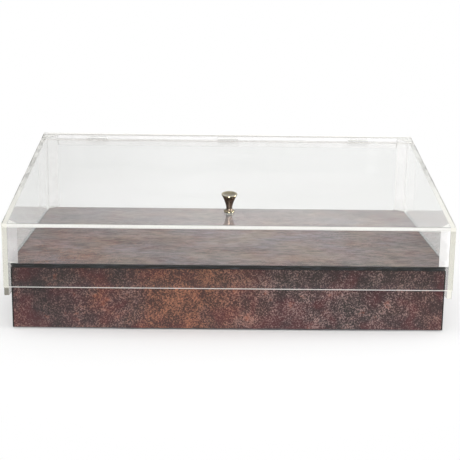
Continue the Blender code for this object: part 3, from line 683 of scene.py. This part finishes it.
class CoolingBoxFinishes(bpy.types.PropertyGroup):
    """Colours and grain sizes of the materials."""

    decor_charcoal: FloatVectorProperty(
        name="Decor charcoal", description="Darkest clouds of the rust decor",
        subtype="COLOR", min=0, max=1, default=linear("#2B2326"),
    )
    decor_maroon: FloatVectorProperty(
        name="Decor maroon", description="Middle tone of the rust decor",
        subtype="COLOR", min=0, max=1, default=linear("#3D272B"),
    )
    decor_brown: FloatVectorProperty(
        name="Decor brown", description="Warm clouds of the rust decor",
        subtype="COLOR", min=0, max=1, default=linear("#4E2D2A"),
    )
    decor_rust: FloatVectorProperty(
        name="Decor rust", description="Orange blooms of the rust decor",
        subtype="COLOR", min=0, max=1, default=linear("#A85A3C"),
    )
    decor_fleck: FloatVectorProperty(
        name="Decor fleck", description="Pale flecks of the rust decor",
        subtype="COLOR", min=0, max=1, default=linear("#A9857B"),
    )
    decor_fleck_size: FloatProperty(
        name="Decor fleck size", description="Width of one fleck as drawn",
        unit="LENGTH", min=0.0005, default=1.7 * MM,
    )
    decor_patch: FloatProperty(
        name="Decor cloud size", description="Width of one cloud of the decor",
        unit="LENGTH", min=0.01, default=85 * MM,
    )
    core_black: FloatVectorProperty(
        name="Core black", description="Black core of the laminate, seen on its edges",
        subtype="COLOR", min=0, max=1, default=linear("#141412"),
    )
    acrylic_tint: FloatVectorProperty(
        name="Acrylic tint", description="Light left after passing one acrylic sheet",
        subtype="COLOR", min=0, max=1, default=(0.93, 0.935, 0.925),
    )
    edge_white: FloatVectorProperty(
        name="Acrylic edge", description="Creamy white of the sawn acrylic edges",
        subtype="COLOR", min=0, max=1, default=linear("#FEFDF9"),
    )
    knob_metal: FloatVectorProperty(
        name="Knob metal", description="Satin nickel of the knob",
        subtype="COLOR", min=0, max=1, default=linear("#A09882"),
    )
    foam_grey: FloatVectorProperty(
        name="Foam", description="Bead foam of the insulation tray",
        subtype="COLOR", min=0, max=1, default=linear("#DEDFDC"),
    )
    foam_bead: FloatProperty(
        name="Foam bead", description="Width of one foam bead",
        unit="LENGTH", min=0.001, default=4 * MM,
    )
    pack_blue: FloatVectorProperty(
        name="Cold pack", description="Blue of the cold packs",
        subtype="COLOR", min=0, max=1, default=linear("#3566A8"),
    )


class CoolingBoxSizes(bpy.types.PropertyGroup):
    """Sizes of the finer shapes and of the studio."""

    plug_ribs: IntProperty(
        name="Plug ribs", description="Grip ribs round each filler plug", min=8, max=60, default=24,
    )
    foam_rounding: FloatProperty(
        name="Foam rounding", description="Radius of the insulation tray's edges",
        unit="LENGTH", min=0.0002, default=1.5 * MM,
    )
    knob_steps: IntProperty(
        name="Knob steps", description="Steps round the knob", min=24, max=256, default=96,
    )
    lens: FloatProperty(
        name="Lens", description="Focal length on a 36 mm sensor", subtype="DISTANCE_CAMERA", default=84.717,
    )


# Operators


class PieceOperator:
    """What the operators share."""

    bl_options = {"REGISTER", "UNDO"}


class COOLINGBOX_OT_walls(PieceOperator, bpy.types.Operator):
    """Dress the four laminate walls of the box"""

    bl_idname = "coolingbox.walls"
    bl_label = "Box walls"

    def execute(self, context):
        finishes = [finish_of(rust_decor_laminate), finish_of(sawn_laminate_core)]
        for side, axis in (("front", DEEP), ("rear", DEEP), ("left", ACROSS), ("right", ACROSS)):
            bm = merged_copy(f"{side}_panel")
            paint_edges(bm, axis)
            add_piece(bm, f"{side}_laminate_wall", f"{side}_panel", "base", finishes)
        return {"FINISHED"}


class COOLINGBOX_OT_bottom(PieceOperator, bpy.types.Operator):
    """Dress the bottom panel, corner blocks, feet, foot screws and plate pads"""

    bl_idname = "coolingbox.bottom"
    bl_label = "Bottom, blocks and feet"

    FOOT_ROUNDING = 0.3 * MM
    PAD_ROUNDING = 0.25 * MM

    def execute(self, context):
        refinish("bottom_panel", finish_of(black_laminate))
        for corner in CORNERS:
            refinish(f"{corner}_block", finish_of(black_laminate))
            refinish(f"{corner}_foot_screw", finish_of(stainless_steel))
            foot = merged_copy(f"{corner}_foot")
            soften(foot, self.FOOT_ROUNDING)
            add_piece(
                foot, f"{corner}_rubber_foot", f"{corner}_foot", "base",
                [finish_of(moulded_rubber)], smooth=ROUND,
            )
            pad = merged_copy(f"{corner}_pad")
            soften(pad, self.PAD_ROUNDING)
            add_piece(
                pad, f"{corner}_plate_pad", f"{corner}_pad", "base",
                [finish_of(clear_silicone)], smooth=ROUND,
            )
        return {"FINISHED"}


class COOLINGBOX_OT_tray(PieceOperator, bpy.types.Operator):
    """Make the moulded foam tray with its soft edges"""

    bl_idname = "coolingbox.tray"
    bl_label = "Insulation tray"

    def execute(self, context):
        bm = merged_copy("insulation_tray")
        soften(bm, context.scene.cooling_box_sizes.foam_rounding)
        add_piece(
            bm, "foam_tray", "insulation_tray", "base", [finish_of(moulded_bead_foam)], smooth=ROUND,
        )
        return {"FINISHED"}


class COOLINGBOX_OT_packs(PieceOperator, bpy.types.Operator):
    """Make the two blow-moulded cold packs and their ribbed filler plugs"""

    bl_idname = "coolingbox.packs"
    bl_label = "Cold packs"

    PACK_ROUNDING = 1.1 * MM
    FOOT_CHAMFER = 0.6 * MM
    TOP_CHAMFER = 0.8 * MM
    # How far in from the plug's side its dish begins and comes to its floor, and how deep it is.
    DISH_RIM = 3.0 * MM
    DISH_FLOOR = 3.6 * MM
    DISH_DEPTH = 1.0 * MM
    RIB_DEPTH = 0.35 * MM
    # What lies this near to the plug's side has the ribs.
    RIBBED = 0.1 * MM

    def execute(self, context):
        for side in ("left", "right"):
            pack = merged_copy(f"{side}_cold_pack")
            soften(pack, self.PACK_ROUNDING, math.radians(20))
            add_piece(
                pack, f"{side}_blown_pack", f"{side}_cold_pack", "base",
                [finish_of(blown_polyethylene)], smooth=math.radians(40),
            )
            self.add_plug(side, context.scene.cooling_box_sizes.plug_ribs)
        return {"FINISHED"}

    def add_plug(self, side, ribs):
        """A round plug with a ribbed rim and a dished top."""
        low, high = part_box(f"{side}_filler_plug")
        middle = (low + high) / 2
        radius = (high.x - low.x) / 2
        height = high.z - low.z
        plug = spun([
            (0, 0),
            (radius - self.FOOT_CHAMFER, 0),
            (radius, self.FOOT_CHAMFER),
            (radius, height - self.TOP_CHAMFER),
            (radius - self.TOP_CHAMFER, height),
            (radius - self.DISH_RIM, height),
            (radius - self.DISH_FLOOR, height - self.DISH_DEPTH),
            (0, height - self.DISH_DEPTH),
        ], 4 * ribs)
        rim = [v for v in plug.verts if math.hypot(v.co.x, v.co.y) > radius - self.RIBBED]
        for vert in rim:
            turn = math.atan2(vert.co.y, vert.co.x) * ribs
            scale = 1 - self.RIB_DEPTH / radius * (0.5 - 0.5 * math.cos(turn))
            vert.co.x *= scale
            vert.co.y *= scale
        bmesh.ops.translate(plug, verts=plug.verts, vec=(middle.x, middle.y, low.z))
        add_piece(
            plug, f"{side}_ribbed_plug", f"{side}_filler_plug", "base",
            [finish_of(moulded_polyethylene)], smooth=math.radians(30),
        )


class COOLINGBOX_OT_plate(PieceOperator, bpy.types.Operator):
    """Dress the serving plate: decor on both faces and a black eased edge"""

    bl_idname = "coolingbox.plate"
    bl_label = "Serving plate"

    def execute(self, context):
        bm = merged_copy("serving_plate")
        paint_edges(bm, UP)
        add_piece(
            bm, "laminate_serving_plate", "serving_plate", "plate",
            [finish_of(rust_decor_plate), finish_of(sawn_laminate_core)], smooth=math.radians(20),
        )
        return {"FINISHED"}


class COOLINGBOX_OT_hood(PieceOperator, bpy.types.Operator):
    """Make the hood's clear walls and the strip behind the flap"""

    bl_idname = "coolingbox.hood"
    bl_label = "Hood walls"

    def execute(self, context):
        add_sheets("hood", (
            ("hood_left_wall", "hood_left_sheet", paint_sawn, ACROSS),
            ("hood_right_wall", "hood_right_sheet", paint_sawn, ACROSS),
            ("hood_rear_wall", "hood_rear_sheet", paint_sawn, DEEP),
            ("hood_top_strip", "hood_strip_sheet", paint_sawn, OUTWARD),
        ))
        return {"FINISHED"}


class COOLINGBOX_OT_bars(PieceOperator, bpy.types.Operator):
    """Make the three-cornered bars that join the hood's walls"""

    bl_idname = "coolingbox.bars"
    bl_label = "Hood corner bars"

    # A bar's ends and its face opposite the long one look this nearly along their axes.
    NEARLY = 0.9

    def execute(self, context):
        finishes = [
            finish_of(polished_acrylic_bar), finish_of(sawn_acrylic_edge), finish_of(glued_acrylic),
            finish_of(scraped_corner_painted_outline),
        ]
        for corner in CORNERS:
            node, name = f"{corner}_corner_bar", f"{corner}_clear_bar"
            self.add_bar(node, name, [ACROSS, DEEP], [UP, OUTWARD], finishes)
        self.add_bar("top_rear_bar", "top_rear_clear_bar", [DEEP, OUTWARD], [ACROSS], finishes)
        return {"FINISHED"}

    def add_bar(self, node, name, glued, ends, finishes):
        """One bar: its long face polished, the glued faces blushed, the ends sawn, the corners scraped."""
        bm = merged_copy(node)
        long_face = max(bm.faces, key=lambda face: face.calc_area())
        for face in bm.faces:
            opposite = face.normal.dot(long_face.normal) < -self.NEARLY
            if face is long_face:
                face.material_index = 0
            elif opposite or any(looks_along(face, axis) for axis in glued):
                face.material_index = 2
            elif any(looks_along(face, axis, self.NEARLY) for axis in ends):
                face.material_index = 1
            else:
                face.material_index = 3
        add_piece(bm, name, node, "hood", finishes)


class COOLINGBOX_OT_flap(PieceOperator, bpy.types.Operator):
    """Make the flap's sloping pane and front pane"""

    bl_idname = "coolingbox.flap"
    bl_label = "Flap panes"

    def execute(self, context):
        add_sheets("flap", (
            ("flap_top_pane", "flap_top_sheet", paint_sawn, OUTWARD),
            ("flap_front_pane", "flap_front_sheet", paint_edges, DEEP),
        ))
        return {"FINISHED"}


class COOLINGBOX_OT_hinges(PieceOperator, bpy.types.Operator):
    """Make the three clear hinges and dress their pins"""

    bl_idname = "coolingbox.hinges"
    bl_label = "Flap hinges"

    def execute(self, context):
        finish = finish_of(moulded_clear_plastic)
        for hinge in HINGES:
            refinish(f"{hinge}_pin", finish_of(drawn_nylon_pin))
            for leaf, body in (("fixed_leaf", "hood"), ("flap_leaf", "flap")):
                bm = merged_copy(f"{hinge}_{leaf}")
                add_piece(
                    bm, f"{hinge}_moulded_{leaf}", f"{hinge}_{leaf}", body,
                    [finish], smooth=ROUND,
                )
        return {"FINISHED"}


class COOLINGBOX_OT_knob(PieceOperator, bpy.types.Operator):
    """Make the turned knob, and dress its washer and screw"""

    bl_idname = "coolingbox.knob"
    bl_label = "Knob"

    # Radii of the cup's rim, the neck, the foot and the screw's bore.
    TOP = 9.75 * MM
    NECK = 3.65 * MM
    FOOT = 6.7 * MM
    BORE = 2.3 * MM
    # Heights at which the foot's flange and the neck's sweep end, and how deep the bore is.
    FOOT_HEIGHT = 1.6 * MM
    NECK_HEIGHT = 4.6 * MM
    DEPTH = 11 * MM
    # The rolled rim, the dish in the top, and how late the cup flares.
    RIM = 0.9 * MM
    DISH = 1.2 * MM
    FLARE = 1.6
    # An edge is rounded over this length, in two flats that meet this far inside it.
    EDGE = 0.4 * MM
    NIP = 0.12 * MM
    SWEEP_STEPS = 12
    CUP_STEPS = 24
    DISH_STEPS = 12

    def outline(self):
        """The knob's outline: flanged foot, slim neck, flared cup, rolled rim and dished top."""
        points = [
            (0, self.DEPTH), (self.BORE, self.DEPTH), (self.BORE, 0), (self.FOOT - self.EDGE, 0),
            (self.FOOT - 0.1 * MM, self.NIP), (self.FOOT, self.EDGE),
            (self.FOOT, self.FOOT_HEIGHT - self.EDGE), (self.FOOT - self.NIP, self.FOOT_HEIGHT - self.NIP),
        ]
        flange = self.FOOT - self.EDGE
        for step in range(self.SWEEP_STEPS + 1):
            turn = math.pi / 2 * step / self.SWEEP_STEPS
            rise = (self.NECK_HEIGHT - self.FOOT_HEIGHT) * (1 - math.cos(turn))
            points.append((flange - (flange - self.NECK) * math.sin(turn), self.FOOT_HEIGHT + rise))
        flare_top = KNOB_HEIGHT - self.RIM
        for step in range(1, self.CUP_STEPS + 1):
            share = step / self.CUP_STEPS
            radius = self.NECK + (self.TOP - self.NECK) * share ** self.FLARE
            points.append((radius, self.NECK_HEIGHT + (flare_top - self.NECK_HEIGHT) * share))
        points += [
            (self.TOP, KNOB_HEIGHT - self.EDGE), (self.TOP - self.NIP, KNOB_HEIGHT - self.NIP),
            (self.TOP - self.EDGE, KNOB_HEIGHT), (self.TOP - self.RIM, KNOB_HEIGHT),
        ]
        for step in range(1, self.DISH_STEPS + 1):
            share = step / self.DISH_STEPS
            sink = self.DISH * math.sin(math.pi / 2 * share)
            points.append(((self.TOP - self.RIM) * (1 - share), KNOB_HEIGHT - sink))
        return points

    def execute(self, context):
        bm = spun(self.outline(), context.scene.cooling_box_sizes.knob_steps)
        bmesh.ops.rotate(bm, verts=bm.verts, cent=(0, 0, 0), matrix=Matrix.Rotation(SLOPE, 3, "X"))
        bmesh.ops.translate(bm, verts=bm.verts, vec=KNOB_PLACE)
        knob = add_piece(
            bm, "turned_knob", "knob", "flap",
            [finish_of(satin_nickel)], smooth=math.radians(32),
        )
        if KNOB_LIGHT in bpy.data.collections:
            bpy.data.collections[KNOB_LIGHT].objects.link(knob)
        refinish("knob_washer", finish_of(clear_silicone))
        refinish("knob_screw", finish_of(stainless_steel))
        return {"FINISHED"}


class COOLINGBOX_OT_stage(PieceOperator, bpy.types.Operator):
    """Set up the white studio: floor, lamps, world and camera"""

    bl_idname = "coolingbox.stage"
    bl_label = "Studio"

    FLOOR_SIZE = 5.0
    SENSOR_WIDTH = 36.0
    # How brightly the white surroundings light matt surfaces.
    MATT_LIGHT = 0.66

    def execute(self, context):
        scene = context.scene
        scene.view_settings.view_transform = "Standard"
        self.add_floor(scene)
        self.add_world(scene)
        self.add_lamps(scene)
        self.add_camera(scene)
        return {"FINISHED"}

    def add_floor(self, scene):
        """A square of floor under the box."""
        bm = bmesh.new()
        bmesh.ops.create_grid(bm, x_segments=1, y_segments=1, size=self.FLOOR_SIZE / 2)
        mesh = bpy.data.meshes.new("studio_floor")
        bm.to_mesh(mesh)
        bm.free()
        mesh.materials.append(finish_of(painted_studio_floor))
        floor = bpy.data.objects.new("studio_floor", mesh)
        scene.collection.objects.link(floor)

    def add_world(self, scene):
        """White for the eye and through clear pieces, an even glow for matt ones, dimmer low in front."""
        world = bpy.data.worlds.new("white_studio")
        world.use_nodes = True
        tree = world.node_tree
        tree.nodes.clear()
        parts = axes(tree, add(tree, "ShaderNodeTexCoord").outputs["Generated"])
        height = calc(tree, "ADD", parts["Y"], parts["Z"])
        mirrored = remap(tree, height, (-0.9, -0.25), (0.2, 1.0))
        left = remap(tree, parts["X"], (-0.17, -0.02), (0.65, 1.0))
        mirrored = calc(tree, "MULTIPLY", mirrored, left)
        path = add(tree, "ShaderNodeLightPath").outputs
        lit = between(tree, seen_directly(tree, path), self.MATT_LIGHT, 1.0)
        strength = between(tree, seen_in_gloss(tree, path), lit, mirrored)
        sky = add(tree, "ShaderNodeBackground", {"Color": (1, 1, 1, 1), "Strength": strength})
        add(tree, "ShaderNodeOutputWorld", {"Surface": sky.outputs["Background"]})
        scene.world = world

    def add_lamps(self, scene):
        """Softboxes overhead and in front, a strip at the right, and two strips for the knob alone."""
        knob_only = bpy.data.collections.new(KNOB_LIGHT)
        for name, place, aim, size, watts, receivers in (
            ("overhead_softbox", (0.0, -0.1, 1.5), (0.0, 0.0, 0.1), (1.6, 1.2), 8.0, None),
            ("front_softbox", (0.0, -2.1, 1.3), (0.0, -0.1, 0.1), (1.6, 0.7), 13.0, None),
            ("right_strip", (1.2, -0.3, 0.5), (0.0, -0.1, 0.3), (0.1, 0.95), 3.0, None),
            ("knob_front_strip", (-0.02, -0.6, 0.12), (-0.02, -0.3, 1.0), (0.05, 0.8), 9.0, knob_only),
            ("knob_right_strip", (0.8, -0.2, 0.3), (0.0, -0.126, 0.15), (0.06, 0.5), 16.0, knob_only),
        ):
            lamp = bpy.data.lights.new(name, "AREA")
            lamp.shape = "RECTANGLE"
            lamp.size, lamp.size_y = size
            lamp.energy = watts
            holder = bpy.data.objects.new(name, lamp)
            holder.location = place
            holder.rotation_euler = (Vector(aim) - Vector(place)).to_track_quat("-Z", "Y").to_euler()
            if receivers:
                holder.light_linking.receiver_collection = receivers
                holder.visible_camera = False
                holder.visible_transmission = False
            scene.collection.objects.link(holder)

    def add_camera(self, scene):
        """The camera that was fitted to the photographed edges."""
        camera = bpy.data.cameras.new("studio_camera")
        camera.lens = scene.cooling_box_sizes.lens
        camera.sensor_width = self.SENSOR_WIDTH
        holder = bpy.data.objects.new("studio_camera", camera)
        turn = Matrix.Rotation(CAMERA_YAW, 4, "Z") @ Matrix.Rotation(math.pi / 2 + CAMERA_PITCH, 4, "X")
        turn = turn @ Matrix.Rotation(CAMERA_ROLL, 4, "Z")
        holder.matrix_world = Matrix.Translation(CAMERA_PLACE) @ turn
        scene.collection.objects.link(holder)
        scene.camera = holder


class COOLINGBOX_PT_panel(bpy.types.Panel):
    """Lists the cooling box's operators and settings"""

    bl_idname = "COOLINGBOX_PT_panel"
    bl_label = "Cooling box"
    bl_space_type = "VIEW_3D"
    bl_region_type = "UI"
    bl_category = "Cooling box"

    def draw(self, context):
        for operator in OPERATORS:
            self.layout.operator(operator.bl_idname)
        for settings in (context.scene.cooling_box_finishes, context.scene.cooling_box_sizes):
            box = self.layout.box()
            for name in type(settings).__annotations__:
                box.prop(settings, name)


OPERATORS = (
    COOLINGBOX_OT_stage,
    COOLINGBOX_OT_walls,
    COOLINGBOX_OT_bottom,
    COOLINGBOX_OT_tray,
    COOLINGBOX_OT_packs,
    COOLINGBOX_OT_plate,
    COOLINGBOX_OT_hood,
    COOLINGBOX_OT_bars,
    COOLINGBOX_OT_flap,
    COOLINGBOX_OT_hinges,
    COOLINGBOX_OT_knob,
)
CLASSES = (CoolingBoxFinishes, CoolingBoxSizes, *OPERATORS, COOLINGBOX_PT_panel)


def register():
    """Registers the settings, operators and panel."""
    for item in CLASSES:
        bpy.utils.register_class(item)
    bpy.types.Scene.cooling_box_finishes = PointerProperty(type=CoolingBoxFinishes)
    bpy.types.Scene.cooling_box_sizes = PointerProperty(type=CoolingBoxSizes)


def unregister():
    """Takes the settings, operators and panel away again."""
    del bpy.types.Scene.cooling_box_sizes
    del bpy.types.Scene.cooling_box_finishes
    for item in reversed(CLASSES):
        bpy.utils.unregister_class(item)


def main():
    """Builds the box and the studio."""
    register()
    bpy.ops.coolingbox.stage()
    bpy.ops.coolingbox.walls()
    bpy.ops.coolingbox.bottom()
    bpy.ops.coolingbox.tray()
    bpy.ops.coolingbox.packs()
    bpy.ops.coolingbox.plate()
    bpy.ops.coolingbox.hood()
    bpy.ops.coolingbox.bars()
    bpy.ops.coolingbox.flap()
    bpy.ops.coolingbox.hinges()
    bpy.ops.coolingbox.knob()


if __name__ == "__main__":
    main()
